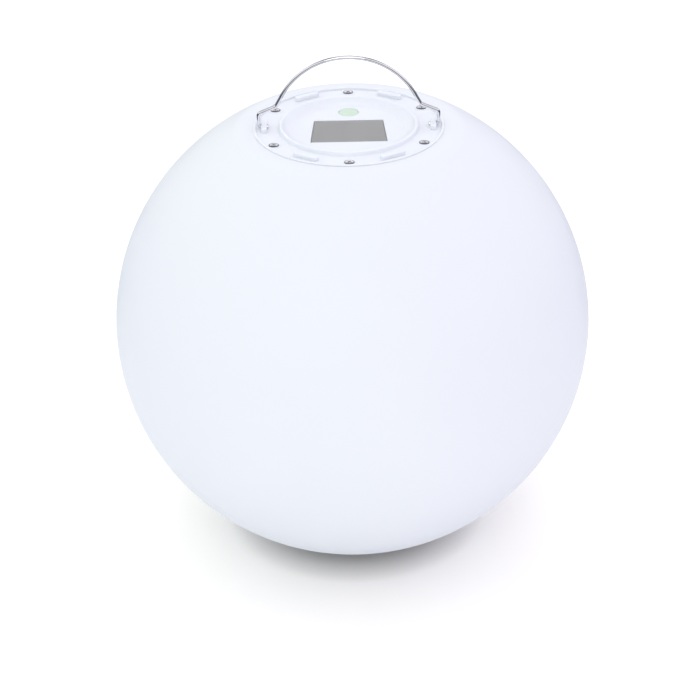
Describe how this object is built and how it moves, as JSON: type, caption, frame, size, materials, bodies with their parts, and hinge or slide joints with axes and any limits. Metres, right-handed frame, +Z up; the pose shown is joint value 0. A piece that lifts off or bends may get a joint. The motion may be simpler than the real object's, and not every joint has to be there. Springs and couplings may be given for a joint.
{
  "type": "floating pool light",
  "caption": "White floating ball light with a screwed-on solar cap, a push button and a folding wire handle for lifting and hanging it.",
  "frame": {"origin": "middle of the flat moulded foot under the ball, on the surface that the ball stands on", "axes": "+Z up through the middle of the cap, +Y towards the push button, +X along the handle hinge"},
  "size_m": [0.4, 0.4, 0.435],
  "materials": {
    "ball": "satin white polyethylene, slightly translucent",
    "cap": "white moulded plastic with a light gloss",
    "chrome": "polished stainless wire",
    "steel": "stainless steel, pressed cross recess",
    "brass": "turned brass",
    "silicone": "pale green translucent silicone, matt",
    "seal": "soft grey sealing rubber",
    "cells": "grey solar cells with a fine grid",
    "window": "clear flat cover with a light gloss",
    "board": "green lacquered circuit board",
    "tape": "white adhesive tape",
    "housing": "pale grey moulded plastic",
    "black": "black moulded plastic",
    "socket": "ivory connector plastic",
    "battery": "blue shrink sleeve",
    "aluminium": "satin white-faced aluminium",
    "led": "yellow phosphor under clear resin",
    "diffuser": "milky translucent plastic",
    "iron": "dark coated cast iron",
    "lead": "red insulation"
  },
  "bodies": {
    "light": {"ball_shell": "ball", "threaded_insert_1": "brass", "threaded_insert_2": "brass", "threaded_insert_3": "brass", "threaded_insert_4": "brass", "threaded_insert_5": "brass", "threaded_insert_6": "brass", "ballast_weight": "iron", "ballast_screw": "steel", "cap_plate": "cap", "cap_gasket": "seal", "cap_screw_1": "steel", "cap_screw_2": "steel", "cap_screw_3": "steel", "cap_screw_4": "steel", "cap_screw_5": "steel", "cap_screw_6": "steel", "button_retainer": "housing", "panel_tape": "tape", "panel_board": "board", "solar_cells": "cells", "panel_window": "window", "module_housing": "housing", "housing_gasket": "seal", "housing_screw_1": "steel", "housing_screw_2": "steel", "housing_screw_3": "steel", "main_board": "board", "board_screw_1": "steel", "board_screw_2": "steel", "board_screw_3": "steel", "tact_switch": "black", "controller_chip": "black", "infrared_receiver": "black", "capacitor": "aluminium", "panel_socket": "socket", "battery_socket": "socket", "led_socket": "socket", "battery_cell": "battery", "battery_cradle": "black", "battery_strap": "tape", "led_board": "aluminium", "led_board_screw_1": "steel", "led_board_screw_2": "steel", "led_1": "led", "led_2": "led", "led_3": "led", "led_4": "led", "diffuser_dome": "diffuser", "diffuser_gasket": "seal", "diffuser_screw_1": "steel", "diffuser_screw_2": "steel", "diffuser_screw_3": "steel", "panel_lead": "lead", "battery_lead": "lead", "led_lead": "lead"},
    "handle": {"carry_handle": "chrome"},
    "button": {"power_button": "silicone", "switch_plunger": "socket"}
  },
  "joints": [
    {"name": "handle_swing", "type": "hinge", "parent": "light", "child": "handle", "pos_m": [0, 0, 0.3747], "axis": [1, 0, 0], "range_deg": [-90, 90]},
    {"name": "button_press", "type": "slide", "parent": "light", "child": "button", "axis": [0, 0, -1], "range_m": [0, 0.001], "stiffness_N_per_m": 900}
  ]
}
